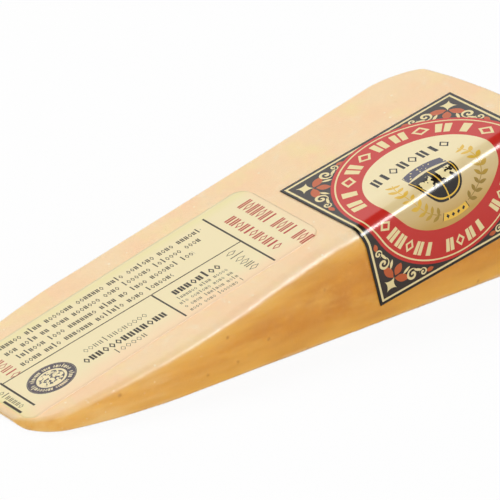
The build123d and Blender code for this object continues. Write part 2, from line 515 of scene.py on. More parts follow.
# %% Make the long label
TEXT_START = 12.6 * MM
TEXT_END = 99.5 * MM
TEXT_NEAR = 8.4 * MM
TEXT_FAR = 38.2 * MM
TEXT_CORNER = 4.0 * MM
TEXT_FROM_FOLD = 0.9
TEXT_LIFT = 0.07 * MM
TEXT_DIP = 0.13 * MM
TEXT_DIP_FROM = 1.5 * MM
TEXT_COLUMNS = 170
TEXT_ROWS = 40


def text_edges(s):
    """The near and far edges of the long label at a distance along the slope."""
    corner = rounded_end(TEXT_END - s, TEXT_CORNER) if s > TEXT_END - TEXT_CORNER else 0.0
    outline = tip_inset(s) + TEXT_FROM_FOLD * fold_radius(s)
    return max(TEXT_NEAR + corner, outline), min(TEXT_FAR - corner, WHEEL_HEIGHT - outline)


def text_flat(along, down):
    """How far along the slope and across it a vertex of the long label lies."""
    s = TEXT_START + along * (TEXT_END - TEXT_START)
    near, far = text_edges(s)
    return s, far + down * (near - far)


def text_place(along, down):
    """Where a vertex of the long label lies in the frame."""
    s, y = text_flat(along, down)
    to_edge = min(y - text_edges(s)[0], TEXT_END - s)
    dip = TEXT_DIP * max(0.0, 1 - to_edge / TEXT_DIP_FROM)
    return on_slope(s, y, dip - TEXT_LIFT)


text_material = bpy.data.materials.new("text print")
text = label_sheet(
    TEXT_COLUMNS, TEXT_ROWS, "text", text_material, text_place,
    lambda along, down: [part / MM for part in text_flat(along, down)],
)
text.visible_shadow = False
print("The long label has", len(text.data.polygons), "faces")

# %% [markdown]
# ## Formulas as materials
#
# A printed pattern is a formula: inside this circle the colour is red, between these two lines it is
# cream. In Blender every step of such a formula is a node. This small class wraps a node's output so that
# ordinary Python sums build those nodes, and the formulas stay readable.

# %% A number inside a material
class Term:
    """An output in a material's nodes that takes part in sums as a number does."""

    def __init__(self, tree, output):
        self.tree, self.output = tree, output

    def node(self, kind, inputs=(), output=0, **settings):
        """Any other node: first its settings, then its inputs, which are terms or plain values."""
        return add_node(self.tree, kind, inputs, output, **settings)

    def math(self, operation, *others, clamped=False):
        """One Math node on this term and any others."""
        values = dict(enumerate((self, *others)))
        return self.node("ShaderNodeMath", values, operation=operation, use_clamp=clamped)

    def __add__(self, other):
        return self.math("ADD", other)

    def __sub__(self, other):
        return self.math("SUBTRACT", other)

    def __rsub__(self, other):
        return self.node("ShaderNodeMath", {0: other, 1: self}, operation="SUBTRACT")

    def __mul__(self, other):
        return self.math("MULTIPLY", other)

    def __truediv__(self, other):
        return self.math("DIVIDE", other)

    def __rtruediv__(self, other):
        return self.node("ShaderNodeMath", {0: other, 1: self}, operation="DIVIDE")

    def __pow__(self, other):
        return self.math("POWER", other)

    def __abs__(self):
        return self.math("ABSOLUTE")

    def __neg__(self):
        return self * -1

    def __lt__(self, other):
        return self.math("LESS_THAN", other)

    def __gt__(self, other):
        return self.math("GREATER_THAN", other)

    def __and__(self, other):
        return self.math("MULTIPLY", other)

    def __or__(self, other):
        return self.math("MAXIMUM", other)

    __radd__, __rmul__ = __add__, __mul__

    def near(self, middle, reach):
        """1 where this lies within a reach of the middle, else 0."""
        return self.math("COMPARE", middle, reach)

    def whole(self):
        """The whole number at or below this."""
        return self.math("FLOOR")

    def ramp(self, start, end):
        """From 0 at the start to 1 at the end, held beyond them."""
        return self.math("MULTIPLY_ADD", 1 / (end - start), -start / (end - start), clamped=True)


def add_node(tree, kind, inputs=(), output=0, **settings):
    """A node of any kind, and one of its outputs as a term."""
    made = tree.nodes.new(kind)
    for name, value in settings.items():
        setattr(made, name, value)
    for name, value in dict(inputs).items():
        if isinstance(value, Term):
            tree.links.new(value.output, made.inputs[name])
        else:
            made.inputs[name].default_value = value
    return Term(tree, made.outputs[output])


print("A term knows", len([name for name in vars(Term) if name.startswith("__")]), "special names")

# %% [markdown]
# Colours are mixed rather than added, so they have helpers of their own. Paint is given by its everyday
# value from 0 to 255 for red, green and blue, and turned into the linear value that light works with. The
# length of a sloping side turns two distances into one, which makes circles and ellipses.

# %% Helpers for colours and masks
def paint(red, green, blue):
    """A colour from 0 to 255, as the linear light it stands for."""
    parts = [part / 255 for part in (red, green, blue)]
    return (*(part / 12.92 if part <= 0.04045 else ((part + 0.055) / 1.055) ** 2.4 for part in parts), 1.0)


def mix(below, above, share):
    """One colour laid over another by a share."""
    return share.node("ShaderNodeMix", {0: share, 6: below, 7: above}, 2, data_type="RGBA")


def mix_number(below, above, share):
    """One number turned into another by a share."""
    return below + (above - below) * share


def hypot(across, up):
    """The distance that two distances at right angles make together."""
    return (across * across + up * up).math("SQRT")


def any_of(masks):
    """1 where at least one of several masks is 1."""
    together, *others = masks
    for mask in others:
        together = together | mask
    return together


print("A pale cream is", [round(part, 3) for part in paint(246, 214, 172)])

# %% [markdown]
# Natural surfaces start from a point's own place on the object, in millimetres, so that every spot and
# cloud can be given its true size. Soft noise makes clouds and streaks, and a second texture scatters
# points, for specks, pits and bubbles.

# %% Helpers for places and natural textures
def place_in_mm(tree):
    """A point's place on the object, in millimetres."""
    place = add_node(tree, "ShaderNodeTexCoord", output="Object")
    return place.node("ShaderNodeVectorMath", {0: place, "Scale": 1 / MM}, operation="SCALE")


def parts_of(vector):
    """The three numbers of a vector."""
    split = vector.node("ShaderNodeSeparateXYZ", {0: vector}).output.node
    return [Term(vector.tree, output) for output in split.outputs]


def noise_at(place, size, detail=2.0):
    """Soft noise whose features are about as big as the size."""
    return place.node("ShaderNodeTexNoise", {"Vector": place, "Scale": 1 / size, "Detail": detail})


def from_spots(place, per_mm):
    """The distance to the nearest of many scattered points, as a share of their spacing."""
    return place.node("ShaderNodeTexVoronoi", {"Vector": place, "Scale": per_mm}, "Distance")


def raised(height, strength, distance):
    """A surface direction that follows a height, as fine relief does."""
    inputs = {"Strength": strength, "Distance": distance, "Height": height}
    return height.node("ShaderNodeBump", inputs, "Normal")


def fresh(material):
    """A material's nodes and its main shader, with the sockets still at rest."""
    material.use_nodes = True
    return material.node_tree, material.node_tree.nodes["Principled BSDF"]


def feed(shader, **values):
    """Link terms to a shader's sockets, or set plain values on them."""
    for name, value in values.items():
        socket = shader.inputs[name.replace("_", " ")]
        if isinstance(value, Term):
            value.tree.links.new(value.output, socket)
        else:
            socket.default_value = value


def show(surface):
    """Make a shader the one that a material's surface shows."""
    surface.tree.links.new(surface.output, surface.tree.nodes["Material Output"].inputs["Surface"])


print("A millimetre is", MM, "of Blender's units")

# %% [markdown]
# ## The cheese's finish
#
# The cheese shows bare paste on its cut faces and rind on the wheel's sides and rim. Which one a point
# shows depends on the rind number that the mesh carries, moved a little by noise so that the border
# wanders. On the near side of the tip the border is wide and soft, because light shines through the thin
# wedge there. Three more numbers say how far a point is towards the tip, towards the near side, and both.

# %% Tell paste from rind
TIPWARD = (-26.0, -60.0)
NEARWARD = (-12.0, -19.0)
TIP_SIDE = (4.0, -14.0)
RIND_EDGE = (-0.5, 0.9)
RIND_EDGE_AT_TIP = (-3.2, 1.5)
EDGE_WANDER = 1.6

tree, shader = fresh(cheese_material)
place = place_in_mm(tree)
rind = add_node(tree, "ShaderNodeAttribute", output="Fac", attribute_name="rind")
along, across, _ = parts_of(place)
tipward, nearward = along.ramp(*TIPWARD), across.ramp(*NEARWARD)
tip_side = tipward * across.ramp(*TIP_SIDE)
wander = noise_at(place, size=9.0) - 0.5
straight_share = (rind + wander * EDGE_WANDER).ramp(*RIND_EDGE)
rind_share = mix_number(straight_share, rind.ramp(*RIND_EDGE_AT_TIP), tip_side)
print("The border takes", len(tree.nodes), "nodes")

# %% [markdown]
# Bare paste is a warm cream with soft peach and yellow clouds, paler flecks, and a few white specks of
# crystal, which a hard cheese grows as it ages.

# %% Colour the paste
PASTE = paint(246, 215, 171)
PASTE_PEACH = paint(248, 209, 165)
PASTE_YELLOW = paint(245, 219, 164)
PASTE_FLECK = paint(247, 226, 192)
CRYSTAL = paint(255, 240, 214)
CRYSTAL_SIZE = 0.1

clouds = noise_at(place, size=14.0, detail=3.0)
yellow_clouds = noise_at(place, size=8.0, detail=3.0)
flecks = noise_at(place, size=3.2, detail=3.0)
paste = mix(PASTE, PASTE_PEACH, clouds.ramp(0.42, 0.66))
paste = mix(paste, PASTE_YELLOW, yellow_clouds.ramp(0.52, 0.75))
paste = mix(paste, PASTE_FLECK, flecks.ramp(0.6, 0.78) * 0.6)
crystal = (from_spots(place, per_mm=0.34) < CRYSTAL_SIZE) & (flecks > 0.52)
paste = mix(paste, CRYSTAL, crystal * 0.7)
print("With the paste the finish has", len(tree.nodes), "nodes")

# %% [markdown]
# The rind is amber. Just under the fold it is painted lighter, as painted light where the edge turns up
# towards the lamps, and it has a faint darker band lower down. Streaks and mottling are drawn out along
# the wedge. Towards the tip the rind gets lighter and its mottling stronger.

# %% Colour the rind
# The first colour is painted light on the rind under the fold, and also the colour of its light streaks.
RIND_PAINTED_LIT_AND_STREAK = paint(244, 188, 84)
RIND_LOW = paint(222, 150, 44)
RIND_DARK = paint(200, 124, 28)
RIND_GRAIN = paint(240, 178, 76)
RIND_TIP = paint(244, 190, 98)
RIND_PALE = paint(250, 212, 142)
DRAWN_OUT = (0.16, 1.0, 0.8)

grain = noise_at(place, size=0.8, detail=3.0)
band = noise_at(place, size=11.0)
drawn_out = place.node("ShaderNodeVectorMath", {0: place, 1: DRAWN_OUT}, operation="MULTIPLY")
streaks = noise_at(drawn_out, size=3.4, detail=3.0)
mottle = noise_at(drawn_out, size=2.6)
# Painted light: the rind is lighter within 7 mm of its edges with the cut faces, for the fold that turns
# up towards the lamps.
amber = mix(RIND_PAINTED_LIT_AND_STREAK, RIND_LOW, rind.ramp(0.0, 7.0))
amber = mix(amber, RIND_DARK, band.ramp(0.42, 0.62) * rind.ramp(4.0, 9.0) * 0.55)
amber = mix(amber, RIND_GRAIN, grain.ramp(0.5, 0.75) * 0.3)
amber = mix(amber, RIND_DARK, streaks.ramp(0.5, 0.72) * 0.4)
amber = mix(amber, RIND_PAINTED_LIT_AND_STREAK, streaks.ramp(0.45, 0.28) * 0.5)
amber = mix(amber, RIND_TIP, tipward * 0.6)
amber = mix(amber, RIND_PALE, mottle.ramp(0.5, 0.7) * (tipward * 0.4 + 0.06))
amber = mix(amber, RIND_LOW, mottle.ramp(0.47, 0.3) * (tipward * 0.4 + 0.08))
print("With the rind the finish has", len(tree.nodes), "nodes")

# %% [markdown]
# Small pits are lower than the rind around them, and their darker colour is painted shade. Pale dots on
# the near side are painted glints that stand for the film's small highlights. A little light goes into the
# cheese and comes out beside where it went in, and the same flecks, grain and streaks that colour the
# cheese give it its fine relief.

# %% Add pits with painted shade, painted glints and relief
# Painted shade: the darker colour of the pits' hollows.
PIT_PAINTED_SHADE = paint(176, 104, 30)
# Painted highlight: the colour of the pale glints on the near side.
PAINTED_GLINT = paint(255, 250, 235)
PAINTED_GLINT_SIZE = 0.1
PAINTED_GLINTS_FROM = 0.67

# Painted shade: the pits are coloured darker for the shade in their hollows, and the relief below lowers
# them.
shaded_pit = from_spots(place, per_mm=0.22).ramp(0.14, 0.05) * (flecks > 0.48)
amber = mix(amber, PIT_PAINTED_SHADE, shaded_pit * 0.45)
colour = mix(paste, amber, rind_share)
# Painted glints: pale dots on the near side that stand for the film's small highlights.
glint_crowding = noise_at(place, size=2.5) + tipward * nearward * 0.2
painted_glint = (from_spots(place, per_mm=0.85) < PAINTED_GLINT_SIZE) & (glint_crowding > PAINTED_GLINTS_FROM)
colour = mix(colour, PAINTED_GLINT, painted_glint * nearward * 0.7)
height = flecks * 0.35 + grain * 0.12 - shaded_pit * 0.4 + streaks * 0.5
feed(
    shader, Base_Color=colour, Roughness=0.55, Normal=raised(height, 0.6, 0.4 * MM),
    Subsurface_Weight=0.12, Subsurface_Radius=(1.0, 0.6, 0.25), Subsurface_Scale=2.5 * MM,
)
print("The cheese's finish has", len(tree.nodes), "nodes")

# %% [markdown]
# ## The film's finish
#
# Clear film shows only by what it mirrors. It lets light through unchanged, mirrors a fiftieth of it head
# on and more at grazing angles. The Layer Weight node says how grazing the view is, the same from either
# side of the film, and its fifth power is the usual short form for clear materials. Where the film clings
# to the cheese it mirrors less than where it stands off, so the strength comes and goes in patches. Soft
# ripples and patches of fine crinkles break up the highlights, most of all towards the tip, where the
# film had to shrink the furthest.

# %% Make the film clear
HEAD_ON = 0.02
GRAZING = 0.12
FILM_TIPWARD = (-30.0, -62.0)
FILM_DULL = 0.3

tree, shader = fresh(film_material)
place = place_in_mm(tree)
tipward = parts_of(place)[0].ramp(*FILM_TIPWARD)
crinkled = noise_at(place, size=1.5, detail=3.0).ramp(0.52, 0.64)
crinkles = noise_at(place, size=0.5) * crinkled * (tipward * 0.3 + 0.22)
ripples = noise_at(place, size=5.0) + noise_at(place, size=1.1) * 0.12
bump = raised(ripples * (tipward * 1.2 + 0.5) + crinkles, 0.4, 0.3 * MM)
facing = bump.node("ShaderNodeLayerWeight", {"Blend": 0.5, "Normal": bump}, "Facing")
patches = noise_at(place, size=2.4, detail=3.0).ramp(0.36, 0.6)
mirror = (facing**5 * GRAZING + HEAD_ON) * (patches * 0.7 + 0.45)
dull = FILM_DULL - crinkled * (tipward * 0.1 + 0.08)
clear = add_node(tree, "ShaderNodeBsdfTransparent")
gloss = add_node(tree, "ShaderNodeBsdfGlossy", {"Roughness": dull, "Normal": bump})
show(mirror.node("ShaderNodeMixShader", {0: mirror, 1: clear, 2: gloss}))
tree.nodes.remove(shader)
print("The film's finish has", len(tree.nodes), "nodes")

# %% [markdown]
# ## Marks in place of words
#
# The real labels carry words. Here their place is held by rows of plain marks that say nothing. Small
# print is made of single tall strokes, pairs of short ones and small lozenges, in runs with gaps between
# them, as words have. The large rows are an even mix of pairs of strokes, single ones and hollow
# lozenges. Both kinds are drawn from two numbers: how many cells along the row a point lies, and how far
# up it. Which mark a cell gets depends on random numbers for small print. For large rows it depends on
# steps of a fixed share, because that spreads the three kinds evenly. All sizes of marks are shares of a
# cell's width or of a row's height.

# %% One cell of a row
STROKE = 0.1
WORD_STEP = 0.618
WORD_GAP = 0.155
LOZENGE_HALF = 0.42


def random_cell(across, seed):
    """How far into its cell a point lies, two random numbers for the cell, and 0 if it is a gap."""
    cell = across.whole()
    pick = across.node("ShaderNodeTexWhiteNoise", {"W": cell + seed}, "Color", noise_dimensions="1D")
    kept = ((cell + seed) * WORD_STEP).math("FRACT") > WORD_GAP
    return across - cell, parts_of(pick)[:2], kept


def in_row(across, up, count):
    """1 inside a row of count cells, else 0."""
    return up.near(0.5, 0.5) & across.near(count / 2, count / 2)


def hollow(x, up, middle, tall, band):
    """1 on a hollow lozenge, else 0."""
    return (abs(x - 0.5) / LOZENGE_HALF + abs(up - middle) / (tall / 2)).near(1 - band, band)


print("A stroke covers", 2 * STROKE, "of a cell")

# %% Draw rows of marks
KIND_STEP = 0.382
PAIRS_BELOW, LOZENGES_ABOVE = 0.46, 0.6


def strokes(across, up, count, seed, weight=1.0, gapped=True):
    """Small print: single tall strokes, pairs of short ones and small lozenges."""
    x, (first, second), kept = random_cell(across, seed)
    pair = abs(x - 0.47).near(0.21, STROKE * weight) & up.near(0.44, 0.3) & first.near(0.62, 0.22)
    tall = x.near(0.47, STROKE * weight) & up.near(0.54, 0.4 + second * 0.1) & (first > 0.84)
    lozenge = hollow(x, up, 0.44, 0.7, 0.15 * weight) & (first < 0.4)
    shapes = (pair | tall | lozenge) & in_row(across, up, count)
    return shapes & kept if gapped else shapes


def ornaments(across, up, count, seed, weight=1.0, gapped=False):
    """Large rows: pairs of full strokes, single ones and hollow lozenges, in an even mix."""
    x, _, kept = random_cell(across, seed)
    kind = ((across.whole() + seed) * KIND_STEP).math("FRACT")
    middle_kind = (PAIRS_BELOW + LOZENGES_ABOVE) / 2
    pair = abs(x - 0.5).near(0.2, STROKE * 1.2 * weight) & (kind < PAIRS_BELOW)
    single = x.near(0.5, STROKE * 1.5 * weight) & kind.near(middle_kind, LOZENGES_ABOVE - middle_kind)
    lozenge = hollow(x, up, 0.5, 1.0, 0.17 * weight) & (kind > LOZENGES_ABOVE)
    shapes = (pair | single | lozenge) & in_row(across, up, count)
    return shapes & kept if gapped else shapes


print("About", round(100 * PAIRS_BELOW), "marks in a hundred of a large row are pairs")

# %% [markdown]
# ## The square label's print
#
# The print is a dark ground with a black and a cream border, a wide red ring, and a cream oval that turns
# gold towards its foot. The four corners are alike, so a corner is drawn once: distances are measured
# from the nearest edges, and then from whichever of the two is further, which also makes each corner its
# own mirror image.

# %% Draw the ground and the border
INK = paint(26, 20, 14)
GROUND = paint(46, 36, 30)
CREAM = paint(232, 214, 158)
BORDER = 1.05
BORDER_LINE = 0.28

tree, shader = fresh(crest_material)
uv = add_node(tree, "ShaderNodeUVMap", uv_map="print")
a, v, _ = parts_of(uv)
wide, tall = CREST_LENGTH / MM, CREST_TALL / MM
from_end = wide / 2 - abs(a - wide / 2)
from_edge = tall / 2 - abs(v - tall / 2)
near_in, far_in = from_end.math("MINIMUM", from_edge), from_end.math("MAXIMUM", from_edge)
colour = mix(INK, GROUND, near_in > BORDER)
colour = mix(colour, CREAM, near_in.near(BORDER, BORDER_LINE))
print("The ground and border take", len(tree.nodes), "nodes")

# %% [markdown]
# Each corner holds a cream star, and curls, dashes and orange petals that trail away from it along both
# edges. They are built from a pointed petal, a star with hollow sides and a spiral band. The ring and the
# oval need an ellipse.

# %% Shapes for the print
STAR_HOLLOW = 0.62
SCROLL_PITCH = 0.8
SCROLL_BAND = 0.25


def disc(x, y, middle_x, middle_y, radius_x, radius_y):
    """Below 1 inside an ellipse, and 1 on its rim."""
    return hypot((x - middle_x) / radius_x, (y - middle_y) / radius_y)


def petal(x, y, middle_x, middle_y, turn, long, short):
    """1 inside a pointed petal that is turned by an angle, else 0."""
    ahead = (x - middle_x) * math.cos(turn) + (y - middle_y) * math.sin(turn)
    aside = (y - middle_y) * math.cos(turn) - (x - middle_x) * math.sin(turn)
    return abs(aside) / short + (ahead / long) * (ahead / long) < 1.0


def star(x, y, middle_x, middle_y, size):
    """1 inside a star with four hollow sides, else 0, its points turned by an eighth."""
    ahead = abs((x - middle_x) + (y - middle_y)) / (size * math.sqrt(2))
    aside = abs((x - middle_x) - (y - middle_y)) / (size * math.sqrt(2))
    return ahead**STAR_HOLLOW + aside**STAR_HOLLOW < 1.0


def scroll(x, y, middle_x, middle_y, size, hand, start):
    """1 on a spiral band that winds round a middle, else 0."""
    right, below = x - middle_x, y - middle_y
    far_out = hypot(right, below)
    turns = below.math("ARCTAN2", right) * (hand / (2 * math.pi))
    wound = far_out / (size * SCROLL_PITCH) + turns + start
    return (wound - wound.whole()).near(0.5, SCROLL_BAND) & (far_out < size)


print("A scroll's windings are", SCROLL_PITCH, "of its size apart")

# %% Draw the corners
ORANGE = paint(190, 88, 38)
EIGHTH = math.pi / 4
STAR = (4.1, 4.1, 2.2)
# A petal's or dash's middle, turn and two half lengths, and a scroll's middle, size, hand and start.
PETALS = ((7.1, 7.1, EIGHTH, 1.7, 1.05), (7.6, 4.3, -0.45, 2.2, 1.05), (15.7, 2.4, 0.0, 1.1, 0.6))
DASHES = ((12.4, 4.0, -0.5, 1.3, 0.34), (9.3, 5.6, 0.45, 1.3, 0.38))
SCROLLS = ((10.6, 3.6, 1.65, 1.0, 0.0), (13.7, 2.75, 1.1, -1.0, 0.5))

petals = any_of(petal(far_in, near_in, *sizes) for sizes in PETALS)
dashes = any_of(petal(far_in, near_in, *sizes) for sizes in DASHES)
scrolls = any_of(scroll(far_in, near_in, *sizes) for sizes in SCROLLS)
colour = mix(colour, ORANGE, petals)
colour = mix(colour, CREAM, star(far_in, near_in, *STAR) | scrolls | dashes)
print("With its corners the pattern takes", len(tree.nodes), "nodes")

# %% [markdown]
# The ring carries a row of marks round its upper half and a longer one round its lower half. An angle
# takes the place of the distance along a row. It is measured round a point a little above the ring's own
# middle.

# %% Draw the ring and its marks
RED = paint(196, 40, 30)
RING = (25.8, 23.9, 23.7, 23.2)
RING_LINE, RING_LINE_HALF = 0.957, 0.0085
TURN_ABOVE = 0.4
UPPER_COUNT, LOWER_COUNT = 11, 17
UPPER_REACH, LOWER_REACH = 1.5, 1.36
LETTER_LOW, LETTER_HIGH = 0.755, 0.905

ring = disc(a, v, *RING)
colour = mix(colour, RED, ring < 1.0)
colour = mix(colour, CREAM, ring.near(RING_LINE, RING_LINE_HALF))
right, below = a - RING[0], v - (RING[1] - TURN_ABOVE)
outward = (ring - LETTER_LOW) / (LETTER_HIGH - LETTER_LOW)
over = (right.math("ARCTAN2", -below) + UPPER_REACH) * (UPPER_COUNT / (2 * UPPER_REACH))
under = (right.math("ARCTAN2", below) + LOWER_REACH) * (LOWER_COUNT / (2 * LOWER_REACH))
upper = ornaments(over, outward, UPPER_COUNT, seed=3.0, weight=1.25)
lower = ornaments(under, 1 - outward, LOWER_COUNT, seed=41.0, weight=1.35, gapped=True)
colour = mix(colour, CREAM, upper | lower)
print("With its ring the pattern takes", len(tree.nodes), "nodes")

# %% [markdown]
# The oval is pale gold at its top and deeper gold at its foot. A shallow arch of marks stands for the
# name.

# %% Draw the oval and the name's row
GOLD = paint(196, 156, 78)
GOLD_PALE = paint(238, 222, 176)
OVAL = (25.8, 23.1, 16.5, 14.9)
GOLD_FROM, GOLD_TO = 20.0, 36.0
NAME_MIDDLE, NAME_FOOT, NAME_TALL, NAME_ARCH = 25.6, 14.9, 3.0, 0.01
NAME_START, NAME_LENGTH, NAME_COUNT = 13.8, 23.0, 8

oval = disc(a, v, *OVAL)
colour = mix(colour, mix(GOLD_PALE, GOLD, v.ramp(GOLD_FROM, GOLD_TO)), oval < 1.0)
from_middle = a - NAME_MIDDLE
name_in = (a - NAME_START) * (NAME_COUNT / NAME_LENGTH)
name_up = 0.5 - (v - NAME_FOOT - from_middle * from_middle * NAME_ARCH) / NAME_TALL
colour = mix(colour, INK, ornaments(name_in, name_up, NAME_COUNT, seed=66.0, weight=1.1))
print("With its oval the pattern takes", len(tree.nodes), "nodes")

# %% [markdown]
# Under the name a slate bar with cream specks crosses the top of a dark shield. The shield has a gold
# seam down its middle and round its rim, and a few pale figures of no particular shape.

# %% Draw the bar and the shield
RIBBON = paint(236, 190, 70)
SLATE = paint(84, 80, 96)
FIGURE = paint(240, 224, 170)
EMBLEM = 25.4
BAR_AT, BAR_ARCH, BAR_HALF_LONG, BAR_HALF_TALL = 19.6, 0.035, 5.6, 1.25
SHIELD_TOP, SHIELD_HALF, SHIELD_TALL, SHIELD_SLANT = 21.6, 6.2, 9.6, 0.7
SHIELD_SQUARE, SHIELD_POINT = 2.4, 2.2
SEAM_HALF = 0.16
RIM_SEAM = (0.8, 0.045)
FIGURES_OUT, FIGURES_AT, FIGURES_HALF = 2.9, 25.0, 1.9

from_emblem = a - EMBLEM
bar = (v - BAR_AT - from_emblem * from_emblem * BAR_ARCH).near(0.0, BAR_HALF_TALL)
bar = bar & a.near(EMBLEM, BAR_HALF_LONG)
colour = mix(colour, SLATE, bar)
colour = mix(colour, CREAM, bar & (noise_at(uv, size=0.9, detail=1.0) > 0.64))
shield_x, shield_y = abs(from_emblem) / SHIELD_HALF, (v - SHIELD_TOP) / SHIELD_TALL
shield = shield_x**SHIELD_SQUARE + shield_y.math("MAXIMUM", 0.0) ** SHIELD_POINT
on_shield = (shield < 1.0) & (v > SHIELD_TOP + shield_x * SHIELD_SLANT)
colour = mix(colour, INK, on_shield)
colour = mix(colour, RIBBON, on_shield & (a.near(EMBLEM, SEAM_HALF) | shield.near(*RIM_SEAM)))
figures = abs(from_emblem).near(FIGURES_OUT, FIGURES_HALF) & v.near(FIGURES_AT, FIGURES_HALF)
figures = figures & (noise_at(uv, size=1.9) > 0.47) & (shield < 0.7)
colour = mix(colour, FIGURE, figures)
print("With its shield the pattern takes", len(tree.nodes), "nodes")

# %% [markdown]
# Two leafy sprigs bend round the shield, and a short banner with four lozenges joins them at the foot.
# Both follow a circle, so they are drawn from the distance to its middle and the angle from straight
# down.

# %% Draw the sprigs and the banner
LEAF_DARK = paint(150, 120, 40)
LEAF_LIGHT = paint(222, 178, 60)
SPRIG = (26.3, 24.2, 10.6)
LEAVES_PER_RADIAN, LEAF_WIDTH = 4.9, 2.2
LEAF = (0.0, 0.95, 1.0, 1.2, 0.52)
SPRIG_MIDDLE, LEAVES_REACH, TWIG_REACH, TWIG_HALF = 1.2, 0.76, 0.8, 0.12
BANNER_AT, BANNER_HALF_TALL, BANNER_REACH = 11.3, 1.05, 0.34
DATE_START, DATE_LENGTH, DATE_COUNT, DATE_REACH = -3.2, 6.4, 4, 0.28
BANNER_END = (0.335, 0.012)

out_x, out_y = a - SPRIG[0], v - SPRIG[1]
reach, turned = hypot(out_x, out_y), abs(out_x).math("ARCTAN2", out_y)
from_twig = abs(reach - SPRIG[2])
leaf_cell = turned * LEAVES_PER_RADIAN
leaf_in = leaf_cell - leaf_cell.whole() - 0.5
leaves = petal(leaf_in * LEAF_WIDTH, from_twig, *LEAF) & turned.near(SPRIG_MIDDLE, LEAVES_REACH)
twig = from_twig.near(0.0, TWIG_HALF) & turned.near(SPRIG_MIDDLE, TWIG_REACH)
lit = (turned + (out_x < 0) * 0.5).ramp(0.9, 1.6)
colour = mix(colour, mix(LEAF_DARK, LEAF_LIGHT, lit), leaves | twig)
banner = reach.near(BANNER_AT, BANNER_HALF_TALL) & turned.near(0.0, BANNER_REACH) & (oval < 0.99)
date_in = (out_x - DATE_START) * (DATE_COUNT / DATE_LENGTH)
dates = abs(date_in - date_in.whole() - 0.5) / 0.3 + abs(reach - BANNER_AT) / 0.6 < 1.0
colour = mix(colour, RIBBON, banner)
colour = mix(colour, INK, banner & ((dates & (turned < DATE_REACH)) | turned.near(*BANNER_END)))
feed(shader, Base_Color=colour, Roughness=0.22, Specular_IOR_Level=0.45)
print("The square label's finish has", len(tree.nodes), "nodes")

# %% [markdown]
# ## The long label's print
#
# The panel is a pale, slightly yellow ground that melts into the cheese's colour at its near edge and
# towards the rind. On it are thin and thick rules, two blocks of small text, some single rows, three red
# headings set crosswise, and an oval seal. The print leans a little, because the label was not stuck on
# quite straight. Sizes are millimetres of the flat print: s along the slope, y across, and q across with
# the lean taken out.

# %% Draw the rules
LEAN = 0.042
LEAN_AT = 50.0
# Where a rule crosses the label, its near and far end, and its width.
RULES = (
    (85.35, 9.2, 36.0, 0.5),
    (59.2, 9.6, 22.5, 0.46),
    (16.9, 12.1, 25.2, 0.55),
    (13.3, 12.4, 19.0, 0.7),
)
LONG_RULE_AT, LONG_RULE_HALF_WIDE = 23.1, 0.16
LONG_RULE_MIDDLE, LONG_RULE_HALF_LONG = 51.2, 34.0

tree, shader = fresh(text_material)
uv = add_node(tree, "ShaderNodeUVMap", uv_map="print")
s, y, _ = parts_of(uv)
q = y + (s - LEAN_AT) * LEAN
long_rule = q.near(LONG_RULE_AT, LONG_RULE_HALF_WIDE) & s.near(LONG_RULE_MIDDLE, LONG_RULE_HALF_LONG)
rules = any_of(
    s.near(at, width / 2) & y.near((low_y + high_y) / 2, (high_y - low_y) / 2)
    for at, low_y, high_y, width in RULES
)
print("The rules take", len(tree.nodes), "nodes")

# %% [markdown]
# A block of text is one row of marks that is used again in every line: the line's number moves the seed
# on, so that no two lines are alike. In the long block each line is shorter than the one above it.

# %% Draw the two blocks of text
BODY_TOP, BODY_STEP, BODY_START, BODY_MARK = 35.9, 3.05, 24.0, 1.12
BODY_END, BODY_SHORTER = 82.5, 1.7
SMALL_TOP, SMALL_STEP, SMALL_START, SMALL_MARK = 17.7, 1.95, 61.2, 0.8
FOUR_LINES = (1.5, 1.6)


def lines(top, step, spread):
    """Which text line a point is in, and how far up it. A spread over 1 leaves gaps between lines."""
    down = (top - q) / step
    line = down.whole()
    return line, 1 - (down - line) * spread


line, up = lines(BODY_TOP, BODY_STEP, 1.35)
body = strokes((s - BODY_START) / BODY_MARK, up, count=60, seed=7.0 + line * 71.0, weight=1.45)
body = body & (s < BODY_END - line * line * BODY_SHORTER) & line.near(*FOUR_LINES)
line, up = lines(SMALL_TOP, SMALL_STEP, 1.3)
small = strokes((s - SMALL_START) / SMALL_MARK, up, count=19, seed=5.0 + line * 31.0, weight=1.15)
small = small & line.near(*FOUR_LINES)
print("With its blocks the panel takes", len(tree.nodes), "nodes")

# %% [markdown]
# Single rows run along the label or across it. The rows along it are given by where they start and end,
# their middle and height, and those across it by where they start and end and the two lines that they
# stand between.

# %% Draw the single rows and the headings
# Start, end, middle, height, number of marks, seed and weight.
ALONG_ROWS = (
    (36.0, 54.0, 18.1, 2.4, 13, 11.0, 0.8),
    (33.6, 57.0, 14.9, 3.3, 13, 23.0, 1.6),
    (40.4, 49.4, 12.0, 2.4, 6, 37.0, 0.8),
    (62.6, 76.3, 19.6, 3.2, 8, 53.0, 1.7),
)
# Start, end, lower line, upper line, number of marks, seed, weight, and whether there are gaps.
CROSS_ROWS = (
    (20.7, 10.5, 79.0, 83.2, 6, 61.0, 0.8, False),
    (22.4, 13.8, 13.8, 16.0, 7, 83.0, 1.0, False),
)
HEADINGS = (
    (34.7, 8.7, 93.3, 97.4, 17, 94.0, 1.15, True),
    (31.2, 12.2, 87.7, 90.8, 11, 97.0, 1.15, False),
    (34.0, 24.0, 19.6, 22.6, 6, 13.0, 0.85, False),
)


def along_row(start, end, middle, tall, count, seed, weight):
    """A row of small print that runs along the label."""
    across = (s - start) * (count / (end - start))
    return strokes(across, (q - middle) / tall + 0.5, count, seed, weight, gapped=False)


